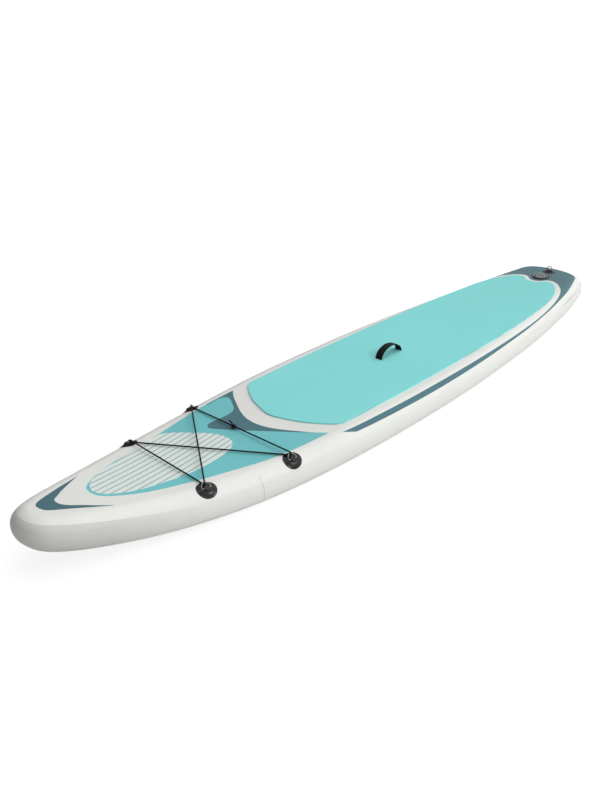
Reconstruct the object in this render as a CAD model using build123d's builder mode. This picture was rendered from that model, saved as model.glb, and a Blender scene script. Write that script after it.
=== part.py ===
from build123d import *
import math
import os

os.makedirs("parts", exist_ok=True)

# Stand up paddleboard, inflated. Millimetres, +Z up, nose towards -Y, port side +X.
# The origin is on the ground below the middle of the board.
# "station" is the distance aft of the nose tip, so Y = station - LENGTH / 2.

# Hull
LENGTH = 3505.0
THICKNESS = 150.0
RAIL_BULGE = 71.0
NOSE_THINNING = 20.0
NOSE_THIN_LENGTH = 500.0
NOSE_ROCKER = 96.0
NOSE_ROCKER_LENGTH = 1000.0
TAIL_ROCKER = 26.0
TAIL_ROCKER_LENGTH = 943.0
SKIN = 1.2
SEAM_GAP = 0.6
LAYER_GAP = 0.3
# Half width of the flat deck at each station, between the nose arc and the tail corner
PLATE_SIDE = [
    (109, 238), (160, 406), (216, 640), (267, 941), (302, 1343), (310, 1744),
    (300, 2146), (276, 2481), (245, 2782), (206, 3050),
]
PLATE_START = 71.0
PLATE_END = 3434.0
NOSE_RADIUS = 60.0
NOSE_SWEEP = 58.0
TRANSOM_RADIUS = 300.0
TRANSOM_SWEEP = 19.6
CORNER_RADIUS = 62.0
CORNER_FLARE = 14.0
RAIL_SECTIONS = 80
TURN_WEIGHT = 1200.0
TURN_SPREAD = 12
BAND_THICKNESS = 1.0
BAND_FROM = 65.0
BAND_TO = 115.0
TAPE_REACH = 30.0

# Rows of drop stitch threads
THREAD_ROWS = 22
THREAD_ROW_THICKNESS = 0.8
THREAD_FIRST = 260.0
THREAD_LAST = 3340.0

# Traction pad
PAD_THICKNESS = 5.0
PAD_OUTLINE = [
    (0, 1141), (48, 1150), (143, 1184), (235, 1240), (272, 1276), (283, 1345), (288, 1560), (290, 1850),
    (284, 2200), (270, 2560), (246, 2850), (208, 3070), (168, 3165), (124, 3222), (84, 3240), (60, 3228),
    (42, 3206), (0, 3200),
]

# Cargo D-rings: distance of the patch centre from the nose, and angle round the rail from the deck
CARGO_STATIONS = {"front": 613.0, "rear": 973.0}
CARGO_ANGLES = {"front": 25.0, "rear": 31.0}
PATCH_RADIUS = 38.0
PATCH_THICKNESS = 1.2
WIRE = 4.0
RING_HALF_WIDTH = 17.0
RING_SIDE = 6.0
RING_CORNER = 4.0
BAR_HEIGHT = 6.8
HOLDER_RADIUS = 16.0
HOLDER_WIDTH = 22.0
HOLDER_HEIGHT = 10.5
PIN_GAP = 0.08
CARGO_RING_LIFT = {"front": 6.0, "rear": 9.0}
TAIL_RING_LIFT = 80.0
TAIL_RING_STATION = 3396.0
TAIL_PATCH_RADIUS = 36.0

# Bungee
BUNGEE = 6.0
BUNGEE_WRAP = 5.7
BUNGEE_TURN = 5.5
KNOT_X = -28.0
KNOT_HALF = 10.0
KNOT_TAIL = 34.0

# Carry handle
HANDLE_STATION = 1922.0
HANDLE_SPAN = 146.0
HANDLE_RISE = 50.0
HANDLE_WIDTH = 38.0
HANDLE_THICKNESS = 3.0
ANCHOR_LENGTH = 74.0
ANCHOR_WIDTH = 62.0
ANCHOR_THICKNESS = 1.2

# Inflation valve
VALVE_STATION = 3300.0
VALVE_PATCH_RADIUS = 53.0
VALVE_FLANGE_RADIUS = 40.0
VALVE_RECESS_RADIUS = 28.0
VALVE_SLEEVE_RADIUS = 22.5
VALVE_BORE_RADIUS = 18.0
VALVE_DEPTH = 34.0
STEM_RADIUS = 4.0
STEM_TRAVEL = 6.0

# Fin box under the tail
FIN_STATION = 3246.0
FIN_BOX_LENGTH = 168.0
FIN_BOX_WIDTH = 46.0
FIN_BOX_LOW = 0.8
FIN_LIP = 1.6
FIN_SLOT_WIDTH = 28.0
FIN_SLOT_HEIGHT = 5.2
FIN_MOUTH_WIDTH = 9.0
FIN_END_WALL = 12.0


def nose_part(station):
    return max(0.0, 1 - station / NOSE_ROCKER_LENGTH)


def tail_part(station):
    return max(0.0, 1 - (LENGTH - station) / TAIL_ROCKER_LENGTH)


def rocker(station):
    return NOSE_ROCKER * nose_part(station) ** 2 + TAIL_ROCKER * tail_part(station) ** 2


def bottom_z(station):
    return rocker(station) + NOSE_THINNING * max(0.0, 1 - station / NOSE_THIN_LENGTH) ** 2


def deck_z(station):
    return rocker(station) + THICKNESS


def slope(station):
    rise = 2 * TAIL_ROCKER * tail_part(station) / TAIL_ROCKER_LENGTH
    return rise - 2 * NOSE_ROCKER * nose_part(station) / NOSE_ROCKER_LENGTH


def to_y(station):
    return station - LENGTH / 2


def on_circle(x, station, radius, degrees):
    # Degrees are counted from straight aft towards port
    a = math.radians(degrees)
    return Vector(x + radius * math.sin(a), to_y(station + radius * math.cos(a)), 0)


def port_wire():
    # The edge of the flat deck on the port side, drawn at Z = 0, from nose to tail
    nose_centre = PLATE_START + NOSE_RADIUS
    nose = [on_circle(0, nose_centre, NOSE_RADIUS, 180 - k * NOSE_SWEEP / 2) for k in range(3)]
    transom_centre = PLATE_END - TRANSOM_RADIUS
    transom = [on_circle(0, transom_centre, TRANSOM_RADIUS, k * TRANSOM_SWEEP / 2) for k in range(3)]
    reach = TRANSOM_RADIUS - CORNER_RADIUS
    centre = on_circle(0, transom_centre, reach, TRANSOM_SWEEP)
    corner_station = centre.Y + LENGTH / 2
    turns = [90 - CORNER_FLARE, (90 - CORNER_FLARE + TRANSOM_SWEEP) / 2, TRANSOM_SWEEP]
    corner = [on_circle(centre.X, corner_station, CORNER_RADIUS, t) for t in turns]
    side = [nose[2]] + [Vector(x, to_y(s), 0) for x, s in PLATE_SIDE] + [corner[0]]
    start_way, end_way = math.radians(NOSE_SWEEP), math.radians(90 + CORNER_FLARE)
    side_edge = Edge.make_spline(side, tangents=[
        Vector(math.cos(start_way), math.sin(start_way), 0),
        Vector(math.cos(end_way), math.sin(end_way), 0),
    ])
    return Wire([
        Edge.make_three_point_arc(*nose),
        side_edge,
        Edge.make_three_point_arc(*corner),
        Edge.make_three_point_arc(transom[2], transom[1], transom[0]),
    ])


port_edge = port_wire()


def rail_frame(u):
    # Point, outward normal and rise along that normal, at a fraction of the port edge
    point = port_edge.position_at(u)
    along = port_edge.tangent_at(u)
    if u <= 0:
        point, along = Vector(0, to_y(PLATE_START), 0), Vector(1, 0, 0)
    if u >= 1:
        point, along = Vector(0, to_y(PLATE_END), 0), Vector(-1, 0, 0)
    out = Vector(along.Y, -along.X, 0).normalized()
    station = point.Y + LENGTH / 2
    return point, out, slope(station) * out.Y, station


def fraction_at(station):
    # Fraction of the port edge where it passes the station
    low, high = 0.0, 1.0
    for _ in range(40):
        middle = (low + high) / 2
        if port_edge.position_at(middle).Y < to_y(station):
            low = middle
        else:
            high = middle
    return (low + high) / 2


def crowded_fractions(count):
    # Sections crowd together where the outline turns, and their spacing changes gradually
    steps = 600
    ways = [port_edge.tangent_at(k / steps) for k in range(steps + 1)]
    turns = [math.radians(ways[k].get_angle(ways[k + 1])) for k in range(steps)]
    total = [0.0]
    for k in range(steps):
        near = 0.0
        for d in range(-TURN_SPREAD, TURN_SPREAD + 1):
            j = k + d
            if j < 0:
                j = -j - 1
            if j >= steps:
                j = 2 * steps - j - 1
            near += turns[j] * (TURN_SPREAD + 1 - abs(d)) / (TURN_SPREAD + 1) ** 2
        total.append(total[-1] + port_edge.length / steps + TURN_WEIGHT * near)
    result = []
    for n in range(count - 1):
        goal = total[-1] * n / (count - 1)
        k = max(i for i in range(steps) if total[i] <= goal)
        result.append((k + (goal - total[k]) / (total[k + 1] - total[k])) / steps)
    return result + [1.0]


def rail_point(frame, across, up):
    point, out, rise, station = frame
    middle = (deck_z(station) + bottom_z(station)) / 2
    base = point + out * (across + SEAM_GAP)
    return Vector(base.X, base.Y, middle + up + rise * across)


def rail_arc(frame, offset, start, end):
    # Quarter ellipse or less, as a rational curve; angles are measured from straight up
    point, out, rise, station = frame
    wide = RAIL_BULGE - SEAM_GAP + offset
    tall = (deck_z(station) - bottom_z(station)) / 2 + offset
    half = math.radians(end - start) / 2
    middle = math.radians(start + end) / 2
    weight = math.cos(half)
    angles = [(math.radians(start), 1), (middle, 1 / weight), (math.radians(end), 1)]
    points = [rail_point(frame, wide * math.sin(a) * k, tall * math.cos(a) * k) for a, k in angles]
    return Edge.make_bezier(*points, weights=[1, weight, 1])


def rail_section(frame, inner, outer, start, end, flange=0.0):
    # Closed section of one layer of the rail, between two offsets from the hull surface
    cuts = [start, end] if end - start <= 90 else [start, (start + end) / 2, end]
    spans = list(zip(cuts[:-1], cuts[1:]))
    outside = [rail_arc(frame, outer, a, b) for a, b in spans]
    inside = [rail_arc(frame, inner, a, b) for a, b in spans]
    first_out, first_in = outside[0].position_at(0), inside[0].position_at(0)
    last_out, last_in = outside[-1].position_at(1), inside[-1].position_at(1)
    edges = outside + [Edge.make_line(last_out, last_in)] + inside
    if flange > 0:
        tall = (deck_z(frame[3]) - bottom_z(frame[3])) / 2
        far_out = rail_point(frame, -flange, tall + outer)
        far_in = rail_point(frame, -flange, tall + inner)
        edges += [Edge.make_line(first_in, far_in), Edge.make_line(far_in, far_out)]
        edges += [Edge.make_line(far_out, first_out)]
    else:
        edges += [Edge.make_line(first_in, first_out)]
    return Wire(edges)


def rail_layer(fractions, inner, outer, start, end, flange=0.0):
    sections = [rail_section(rail_frame(u), inner, outer, start, end, flange) for u in fractions]
    return Solid.make_loft(sections)


def profile_edges(height, breaks):
    # Each stretch is exactly a parabola, so one quadratic curve draws it
    edges = []
    for a, b in zip(breaks[:-1], breaks[1:]):
        middle = 2 * height((a + b) / 2) - (height(a) + height(b)) / 2
        edges.append([(to_y(a), height(a)), (to_y((a + b) / 2), middle), (to_y(b), height(b))])
    return edges


def sheet(height, low, high, half_width, start=30.0, end=LENGTH - 30.0):
    # A sheet that follows the deck or the bottom, between two offsets from it
    inner_breaks = [NOSE_THIN_LENGTH, NOSE_ROCKER_LENGTH, LENGTH - TAIL_ROCKER_LENGTH]
    breaks = [start] + [b for b in inner_breaks if start < b < end] + [end]
    with BuildPart() as result:
        with BuildSketch(Plane.YZ):
            with BuildLine():
                for offset in (low, high):
                    for points in profile_edges(height, breaks):
                        raised = [(y, z + offset) for y, z in points]
                        if abs(points[1][1] * 2 - points[0][1] - points[2][1]) < 1e-6:
                            Line(raised[0], raised[2])
                        else:
                            Bezier(*raised)
                for station in (start, end):
                    z = height(station)
                    Line((to_y(station), z + low), (to_y(station), z + high))
            make_face()
        extrude(amount=half_width, both=True)
    return result.part


def pad_sketch():
    # Closed symmetric outline of the traction pad from its port half
    with BuildSketch(Plane.XY) as result:
        with BuildLine():
            Spline([(x, to_y(s)) for x, s in PAD_OUTLINE], tangents=[(1, 0), (-1, 0)])
            mirror(about=Plane.YZ)
        make_face()
    return result.sketch


def plate_sketch():
    # The flat deck's outline, both sides
    with BuildSketch(Plane.XY) as result:
        with BuildLine():
            add(port_edge.edges())
            mirror(about=Plane.YZ)
        make_face()
    return result.sketch


def valve_plane(height=0.0):
    s = VALVE_STATION
    normal = Vector(0, -slope(s), 1).normalized()
    return Plane(origin=Vector(0, to_y(s), deck_z(s)) + normal * height, x_dir=(1, 0, 0), z_dir=normal)


def fin_plane(height=0.0):
    # Faces down, so heights grow away from the hull
    s = FIN_STATION
    normal = Vector(0, slope(s), -1).normalized()
    return Plane(origin=Vector(0, to_y(s), bottom_z(s)) + normal * height, x_dir=(1, 0, 0), z_dir=normal)


def patch_plane(u, angle, side):
    # Tangent plane of the hull: X runs along the rail, Y points inboard, Z points out of the hull
    frame = rail_frame(u)
    point, out, rise, station = frame
    wide = RAIL_BULGE - SEAM_GAP
    tall = (deck_z(station) - bottom_z(station)) / 2
    a = math.radians(angle)
    origin = rail_point(frame, wide * math.sin(a), tall * math.cos(a))
    ahead = rail_point(frame, wide * math.sin(a + 0.001), tall * math.cos(a + 0.001))
    outboard = (ahead - origin).normalized()
    along = Vector(-out.Y, out.X, 0)
    normal = outboard.cross(along).normalized()
    if normal.Z < 0:
        normal = normal * -1
    if side < 0:
        origin = Vector(-origin.X, origin.Y, origin.Z)
        normal = Vector(-normal.X, normal.Y, normal.Z)
        outboard = Vector(-outboard.X, outboard.Y, outboard.Z)
    return Plane(origin=origin, x_dir=(outboard * -1).cross(normal), z_dir=normal)


def ring_solid(plane, lift):
    # The bar lies on the plane's X axis, raised to its holder, and the eye points along Y
    centre = plane.origin + plane.z_dir * BAR_HEIGHT
    a = math.radians(lift)
    normal = plane.z_dir * math.cos(a) - plane.y_dir * math.sin(a)
    tilted = Plane(origin=centre, x_dir=plane.x_dir, z_dir=normal)
    side = RING_HALF_WIDTH
    with BuildPart() as result:
        with BuildLine(tilted) as path:
            bar = Line((0, 0), (side - RING_CORNER, 0))
            corner = RadiusArc(bar @ 1, (side, RING_CORNER), -RING_CORNER)
            arm = Line(corner @ 1, (side, RING_SIDE))
            RadiusArc(arm @ 1, (0, RING_SIDE + side), -side)
        with BuildSketch(Plane(origin=path.line @ 0, z_dir=path.line % 0)):
            Circle(WIRE / 2)
        sweep()
        mirror(about=Plane(origin=centre, z_dir=plane.x_dir))
    end = tilted.origin + tilted.y_dir * (RING_SIDE + side)
    return result.part, end, tilted


def holder_solid(plane, backing):
    # A low dome with flat sides and a tunnel for the ring's bar
    tunnel = Plane(origin=plane.origin + plane.z_dir * BAR_HEIGHT, x_dir=plane.y_dir, z_dir=plane.x_dir)
    with BuildPart() as result:
        with BuildSketch(plane.offset(-12)):
            Circle(HOLDER_RADIUS)
        extrude(amount=12 + HOLDER_HEIGHT)
        crown = result.faces().sort_by(Axis(plane.origin, plane.z_dir))[-1]
        fillet(crown.edges(), HOLDER_HEIGHT - 1.5)
        with BuildSketch(plane.offset(-13)):
            Rectangle(HOLDER_WIDTH, 3 * HOLDER_RADIUS)
        extrude(amount=40, mode=Mode.INTERSECT)
        with BuildSketch(tunnel):
            Circle(WIRE / 2 + PIN_GAP)
        extrude(amount=60, both=True, mode=Mode.SUBTRACT)
        add(backing, mode=Mode.SUBTRACT)
    return result.part


def finish(part, name):
    part.label = name
    export_step(part, "parts/" + name + ".step")
    print(name, len(part.solids()), round(part.volume / 1000, 1), "cm3", part.is_valid)


rail_fractions = crowded_fractions(RAIL_SECTIONS)

plate = plate_sketch()
WALL = 400.0

# Skins: deck and bottom sheets, cut to the plate outline
valve_cut = valve_plane(-20)

with BuildPart() as deck_skin:
    add(sheet(deck_z, -SKIN, 0.0, WALL))
    extrude(plate, amount=WALL, mode=Mode.INTERSECT)
    with BuildSketch(valve_cut):
        Circle(VALVE_SLEEVE_RADIUS + 0.5)
    extrude(amount=40, mode=Mode.SUBTRACT)
finish(deck_skin.part, "deck_skin")

with BuildPart() as bottom_skin:
    add(sheet(bottom_z, 0.0, SKIN, WALL))
    extrude(plate, amount=WALL, mode=Mode.INTERSECT)
finish(bottom_skin.part, "bottom_skin")

# Rail walls and the second layer along their middle
with BuildPart() as rail_wall_port:
    add(rail_layer(rail_fractions, -SKIN, 0.0, 0, 180))
finish(rail_wall_port.part, "rail_wall_port")

starboard_wall = mirror(rail_wall_port.part, about=Plane.YZ)

with BuildPart() as rail_wall_starboard:
    add(starboard_wall, clean=False)
finish(rail_wall_starboard.part, "rail_wall_starboard")

with BuildPart() as rail_band_port:
    add(rail_layer(rail_fractions, LAYER_GAP, LAYER_GAP + BAND_THICKNESS, BAND_FROM, BAND_TO), clean=False)
finish(rail_band_port.part, "rail_band_port")

starboard_band = mirror(rail_band_port.part, about=Plane.YZ)

with BuildPart() as rail_band_starboard:
    add(starboard_band, clean=False)
finish(rail_band_starboard.part, "rail_band_starboard")


def seam_tape(fractions):
    # A strip inside the hull over the joint of the two rail walls
    half = rail_layer(fractions, -SKIN - 1.3, -SKIN - 0.4, 8, 172)
    other_half = mirror(half, about=Plane.YZ)
    with BuildPart() as result:
        add(half)
        add(other_half)
    return result.part


tape_share = TAPE_REACH / port_edge.length

with BuildPart() as nose_seam_tape:
    add(seam_tape([0.0, tape_share / 2, tape_share]))
finish(nose_seam_tape.part, "nose_seam_tape")

with BuildPart() as tail_seam_tape:
    add(seam_tape([1.0, 1.0 - tape_share / 2, 1.0 - tape_share]))
finish(tail_seam_tape.part, "tail_seam_tape")

# Drop stitch threads, one row every so often
with BuildPart() as drop_stitch_threads:
    for row in range(THREAD_ROWS):
        station = THREAD_FIRST + (THREAD_LAST - THREAD_FIRST) * row / (THREAD_ROWS - 1)
        if abs(station - VALVE_STATION) < 60:
            continue
        low = max(bottom_z(station - 1), bottom_z(station + 1)) + SKIN + 0.5
        high = min(deck_z(station - 1), deck_z(station + 1)) - SKIN - 0.5
        half = port_edge.position_at(fraction_at(station)).X - 6
        with Locations((0, to_y(station), (low + high) / 2)):
            Box(2 * half, THREAD_ROW_THICKNESS, high - low)
finish(drop_stitch_threads.part, "drop_stitch_threads")

# Traction pad, with slits for the handle and recesses over its anchors
handle_ends = {
    "front": HANDLE_STATION - HANDLE_SPAN / 2,
    "rear": HANDLE_STATION + HANDLE_SPAN / 2,
}
pad_top = THICKNESS + LAYER_GAP + PAD_THICKNESS

with BuildPart() as traction_pad:
    add(sheet(deck_z, LAYER_GAP, LAYER_GAP + PAD_THICKNESS, WALL))
    extrude(pad_sketch(), amount=WALL, mode=Mode.INTERSECT)
    for station in handle_ends.values():
        with Locations((0, to_y(station), THICKNESS)):
            Box(HANDLE_WIDTH + 4, HANDLE_THICKNESS + 3, 40, mode=Mode.SUBTRACT)
            Box(ANCHOR_WIDTH + 4, ANCHOR_LENGTH + 4, 4, mode=Mode.SUBTRACT)
finish(traction_pad.part, "traction_pad")

# Carry handle and its glued anchors
for end, station in handle_ends.items():
    with BuildPart() as anchor:
        with Locations((0, to_y(station), THICKNESS + 0.2 + ANCHOR_THICKNESS / 2)):
            Box(ANCHOR_WIDTH, ANCHOR_LENGTH, ANCHOR_THICKNESS)
        fillet(anchor.edges().filter_by(Axis.Z), 14)
    finish(anchor.part, "handle_anchor_" + end)

strap_foot = THICKNESS + 0.2 + ANCHOR_THICKNESS + 0.1
with BuildPart() as handle_strap:
    with BuildSketch(Plane.YZ):
        middle_y = to_y(HANDLE_STATION)
        with BuildLine():
            for inset in (0, HANDLE_THICKNESS):
                half = HANDLE_SPAN / 2 + HANDLE_THICKNESS / 2 - inset
                top = HANDLE_RISE - inset
                arch = EllipticalCenterArc((middle_y, pad_top), half, top, start_angle=0, arc_size=180)
                Line(arch @ 0, (middle_y + half, strap_foot))
                Line(arch @ 1, (middle_y - half, strap_foot))
            for way in (-1, 1):
                outer_y = middle_y + way * (HANDLE_SPAN + HANDLE_THICKNESS) / 2
                Line((outer_y, strap_foot), (outer_y - way * HANDLE_THICKNESS, strap_foot))
        make_face()
    extrude(amount=HANDLE_WIDTH / 2, both=True)
finish(handle_strap.part, "handle_strap")


# Cargo D-rings
def make_patch(u, angle, side, plane, start, end, flange, spread):
    fractions = [u - spread, u - spread / 2, u, u + spread / 2, u + spread]
    layer = rail_layer(fractions, LAYER_GAP, LAYER_GAP + PATCH_THICKNESS, start, end, flange)
    if side < 0:
        layer = mirror(layer, about=Plane.YZ)
    with BuildPart() as result:
        with BuildSketch(plane.offset(-25)):
            Circle(PATCH_RADIUS)
        extrude(amount=50)
        add(layer, mode=Mode.INTERSECT)
    return result.part


def make_backing(u, side, start, end, flange, spread):
    fractions = [u - spread, u - spread / 2, u, u + spread / 2, u + spread]
    layer = rail_layer(fractions, -14, LAYER_GAP + PATCH_THICKNESS + 0.1, start, end, flange)
    return mirror(layer, about=Plane.YZ) if side < 0 else layer


ring_ends = {}
for row, station in CARGO_STATIONS.items():
    u = fraction_at(station)
    angle = CARGO_ANGLES[row]
    for side, hand in ((1, "port"), (-1, "starboard")):
        tag = row + "_" + hand
        plane = patch_plane(u, angle, side)
        patch = make_patch(u, angle, side, plane, 0, 85, 60, 0.016)
        finish(patch, "dring_patch_" + tag)
        backing = make_backing(u, side, 0, 85, 60, 0.016)
        finish(holder_solid(plane, backing), "dring_holder_" + tag)
        ring, end, tilted = ring_solid(plane, CARGO_RING_LIFT[row])
        finish(ring, "dring_ring_" + tag)
        ring_ends[tag] = (end, tilted)
        print(tag, "bar", tilted.origin, "axis", tilted.x_dir, "eye", tilted.y_dir, "end", end)


# Tail ring for the leash
tail_plane = Plane(
    origin=(0, to_y(TAIL_RING_STATION), deck_z(TAIL_RING_STATION)),
    x_dir=(1, 0, 0),
    z_dir=(0, -slope(TAIL_RING_STATION), 1),
)
with BuildPart() as tail_ring_patch:
    add(sheet(deck_z, LAYER_GAP, LAYER_GAP + PATCH_THICKNESS, WALL))
    with BuildSketch(tail_plane.offset(-10)):
        Circle(TAIL_PATCH_RADIUS)
    extrude(amount=20, mode=Mode.INTERSECT)
finish(tail_ring_patch.part, "tail_ring_patch")

tail_backing = sheet(deck_z, -16, LAYER_GAP + PATCH_THICKNESS + 0.1, WALL)
finish(holder_solid(tail_plane, tail_backing), "tail_ring_holder")
tail_ring, tail_end, tail_tilted = ring_solid(tail_plane, TAIL_RING_LIFT)
finish(tail_ring, "tail_ring")
print("tail bar", tail_tilted.origin, "end", tail_end)

# Bungee lacing: it crosses between the front rings, runs back diagonally and is knotted at the rear
order = ["rear_starboard", "front_port", "front_starboard", "rear_port"]
arrives_high = {"rear_starboard": False, "front_port": True, "front_starboard": True, "rear_port": False}
ends = [ring_ends[tag][0] for tag in order]
knot = Vector(KNOT_X, (ends[0].Y + ends[3].Y) / 2, 0)
route = []
for k, tag in enumerate(order):
    before = knot if k == 0 else ends[k - 1]
    after = knot if k == 3 else ends[k + 1]
    here = ends[k]
    inboard = Vector(0, 0, 0)
    for other in (before, after):
        way = Vector(other.X - here.X, other.Y - here.Y, 0)
        inboard += way.normalized()
    inboard = inboard.normalized()
    lift = BUNGEE_WRAP if arrives_high[tag] else -BUNGEE_WRAP
    for height in (lift, -lift):
        route.append(here - inboard * BUNGEE_WRAP + Vector(0, 0, height))
share = (knot.X - route[0].X) / (route[-1].X - route[0].X)
knot = route[0] + (route[-1] - route[0]) * share
across = (route[-1] - route[0]).normalized()
route = [knot - across * KNOT_HALF] + route + [knot + across * KNOT_HALF]

with BuildPart() as bungee_cord:
    with BuildLine():
        lacing = FilletPolyline(*route, radius=[BUNGEE_TURN] * (len(route) - 2))
    with BuildSketch(Plane(origin=lacing @ 0, z_dir=lacing % 0)):
        Circle(BUNGEE / 2)
    sweep()
finish(bungee_cord.part, "bungee_cord")
cord_length = lacing.length
cord_area = math.pi * BUNGEE**2 / 4
print("cord length", cord_length, "volume share", bungee_cord.part.volume / (cord_length * cord_area))
for point in route:
    print("cord point", point, "above deck", point.Z - BUNGEE / 2 - deck_z(point.Y + LENGTH / 2))

# The knot: a tight body and two short loose ends
tail_ways = [(-0.5, 0.75, 0.12), (0.62, -0.7, -0.1)]
with BuildPart() as bungee_knot:
    with BuildSketch(Plane(origin=knot - across * (KNOT_HALF - 0.1), z_dir=across)):
        Circle(BUNGEE * 1.05)
    extrude(amount=2 * KNOT_HALF - 0.2)
    fillet(bungee_knot.edges(), 3.5)
    for way in tail_ways:
        with BuildSketch(Plane(origin=knot, z_dir=way)):
            Circle(BUNGEE / 2)
        extrude(amount=KNOT_TAIL)
finish(bungee_knot.part, "bungee_knot")


# The valve's backing is an eight-sided patch
with BuildPart() as valve_patch:
    with BuildSketch(valve_plane(0.5)) as patch_outline:
        RegularPolygon(VALVE_PATCH_RADIUS, 8)
        fillet(patch_outline.vertices(), 4)
        Circle(VALVE_SLEEVE_RADIUS + 0.5, mode=Mode.SUBTRACT)
    extrude(amount=1.1)
finish(valve_patch.part, "valve_patch")


# Inflation valve, in heights above the deck along its own axis
def valve_ring(outer, inner, low, high, name):
    with BuildPart() as result:
        with BuildSketch(valve_plane(low)):
            Circle(outer)
            Circle(inner, mode=Mode.SUBTRACT)
        extrude(amount=high - low)
    finish(result.part, name)


valve_ring(VALVE_FLANGE_RADIUS - 2, VALVE_SLEEVE_RADIUS + 0.3, 1.7, 2.8, "valve_gasket")

with BuildPart() as valve_body:
    with BuildSketch(valve_plane(2.9)):
        Circle(VALVE_FLANGE_RADIUS)
    extrude(amount=3.6)
    crown = valve_body.faces().sort_by(Axis((0, 0, 0), valve_plane().z_dir))[-1]
    chamfer(crown.edges(), 1.2)
    with BuildSketch(valve_plane(-VALVE_DEPTH)):
        Circle(VALVE_SLEEVE_RADIUS)
    extrude(amount=VALVE_DEPTH + 3)
    with BuildSketch(valve_plane(3.7)):
        Circle(VALVE_RECESS_RADIUS)
    extrude(amount=10, mode=Mode.SUBTRACT)
    with BuildSketch(valve_plane(-VALVE_DEPTH - 1)):
        Circle(VALVE_BORE_RADIUS)
    extrude(amount=VALVE_DEPTH + 20, mode=Mode.SUBTRACT)
    with BuildSketch(valve_plane(-30)):
        Rectangle(2 * VALVE_BORE_RADIUS + 2, 5)
        Rectangle(5, 2 * VALVE_BORE_RADIUS + 2)
        Circle(7.5)
        Circle(STEM_RADIUS + PIN_GAP, mode=Mode.SUBTRACT)
    extrude(amount=4)
finish(valve_body.part, "valve_body")

with BuildPart() as valve_nut:
    with BuildSketch(valve_plane(-8)):
        Circle(34)
        Circle(VALVE_SLEEVE_RADIUS + 0.1, mode=Mode.SUBTRACT)
        with PolarLocations(34, 8):
            Rectangle(6, 9, mode=Mode.SUBTRACT)
    extrude(amount=6.3)
finish(valve_nut.part, "valve_nut")

with BuildPart() as valve_stem:
    with BuildSketch(valve_plane(-39)):
        Circle(19)
    extrude(amount=2.4)
    with BuildSketch(valve_plane(-37)):
        Circle(STEM_RADIUS)
    extrude(amount=33)
    with BuildSketch(valve_plane(-7)):
        Circle(7)
    extrude(amount=3)
finish(valve_stem.part, "valve_stem")

valve_ring(20.5, STEM_RADIUS + 0.05, -36.5, -VALVE_DEPTH - 0.1, "valve_diaphragm")

spring_low, spring_high = -25.9, -7.1
with BuildPart() as valve_spring:
    with BuildLine():
        coil = Helix(pitch=4.3, height=spring_high - spring_low - 1.2, radius=5.6)
    with BuildSketch(Plane(origin=coil @ 0, z_dir=coil % 0)):
        Circle(0.6)
    sweep(is_frenet=True)
finish(valve_plane(spring_low + 0.6).location * valve_spring.part, "valve_spring")

with BuildPart() as valve_cap:
    with BuildSketch(valve_plane(3.8)):
        Circle(VALVE_RECESS_RADIUS - 0.4)
    extrude(amount=4)
    crown = valve_cap.faces().sort_by(Axis((0, 0, 0), valve_plane().z_dir))[-1]
    fillet(crown.edges(), 1.4)
    with BuildSketch(valve_plane(7.6)):
        SlotOverall(42, 8)
    extrude(amount=4.4)
    with BuildSketch(valve_plane(-2.5)):
        Circle(VALVE_BORE_RADIUS - 1.1)
        Circle(VALVE_BORE_RADIUS - 4, mode=Mode.SUBTRACT)
    extrude(amount=6.4)
finish(valve_cap.part, "valve_cap")
valve_ring(VALVE_BORE_RADIUS - 0.1, VALVE_BORE_RADIUS - 1.0, -0.5, 1.5, "valve_cap_seal")

# Fin box under the tail
with BuildPart() as fin_box_patch:
    add(sheet(bottom_z, -LAYER_GAP - PATCH_THICKNESS, -LAYER_GAP, WALL))
    with BuildSketch(fin_plane(-10)):
        RectangleRounded(104, FIN_BOX_LENGTH + 60, 24)
    extrude(amount=20, mode=Mode.INTERSECT)
finish(fin_box_patch.part, "fin_box_patch")

fin_hull_side = -LAYER_GAP - PATCH_THICKNESS - 0.15
fin_y = to_y(FIN_STATION)
with BuildPart() as fin_box:
    with BuildSketch(Plane.XY.offset(FIN_BOX_LOW)):
        with Locations((0, fin_y)):
            RectangleRounded(FIN_BOX_WIDTH, FIN_BOX_LENGTH, 8)
    extrude(amount=30)
    add(sheet(bottom_z, fin_hull_side, 60, WALL), mode=Mode.SUBTRACT)
    with Locations((0, fin_y - FIN_END_WALL, FIN_BOX_LOW + FIN_LIP + FIN_SLOT_HEIGHT / 2)):
        Box(FIN_SLOT_WIDTH, FIN_BOX_LENGTH, FIN_SLOT_HEIGHT, mode=Mode.SUBTRACT)
    with Locations((0, fin_y - FIN_END_WALL, FIN_BOX_LOW)):
        Box(FIN_MOUTH_WIDTH, FIN_BOX_LENGTH, 2 * FIN_LIP + 1, mode=Mode.SUBTRACT)
finish(fin_box.part, "fin_box")
print("valve axis", valve_plane().z_dir, "origin", valve_plane().origin, "spring foot", valve_plane(spring_low).origin)
print("fin box", fin_box.part.bounding_box())
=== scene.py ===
import math

import bpy
import numpy as np
from mathutils import Matrix, Vector
from mathutils.geometry import delaunay_2d_cdt


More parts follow.
